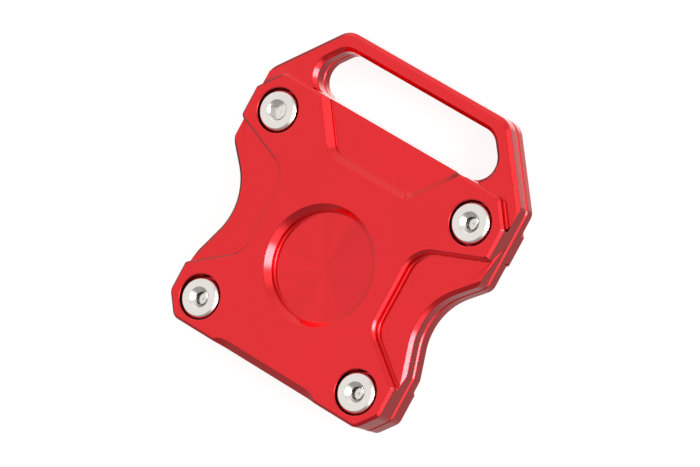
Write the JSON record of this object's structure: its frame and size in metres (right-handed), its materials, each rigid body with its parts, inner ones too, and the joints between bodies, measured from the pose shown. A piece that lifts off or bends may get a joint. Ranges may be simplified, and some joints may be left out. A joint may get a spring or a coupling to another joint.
{
  "type": "side stand foot plate",
  "caption": "Two milled plates clamped round a motorcycle side stand's foot by socket screws, with a slotted handle edge, waisted sides and a raised land on the sole.",
  "frame": {"origin": "middle of the underside of the whole part's box, as it lies on its stand face", "axes": "+Z out of the ground face, +Y from the front edge to the slotted handle, X across; in use the part is turned over, so that the ground face is down"},
  "size_m": [0.076, 0.08, 0.0125],
  "materials": {
    "ground_plate": "red anodised, semi-gloss milled",
    "stand_plate": "red anodised, semi-gloss milled",
    "screws": "bright stainless steel, turned"
  },
  "bodies": {
    "root": {"ground_plate": "ground_plate", "stand_plate": "stand_plate", "screw_front_left": "screws", "screw_front_right": "screws", "screw_rear_left": "screws", "screw_rear_right": "screws"}
  },
  "joints": []
}
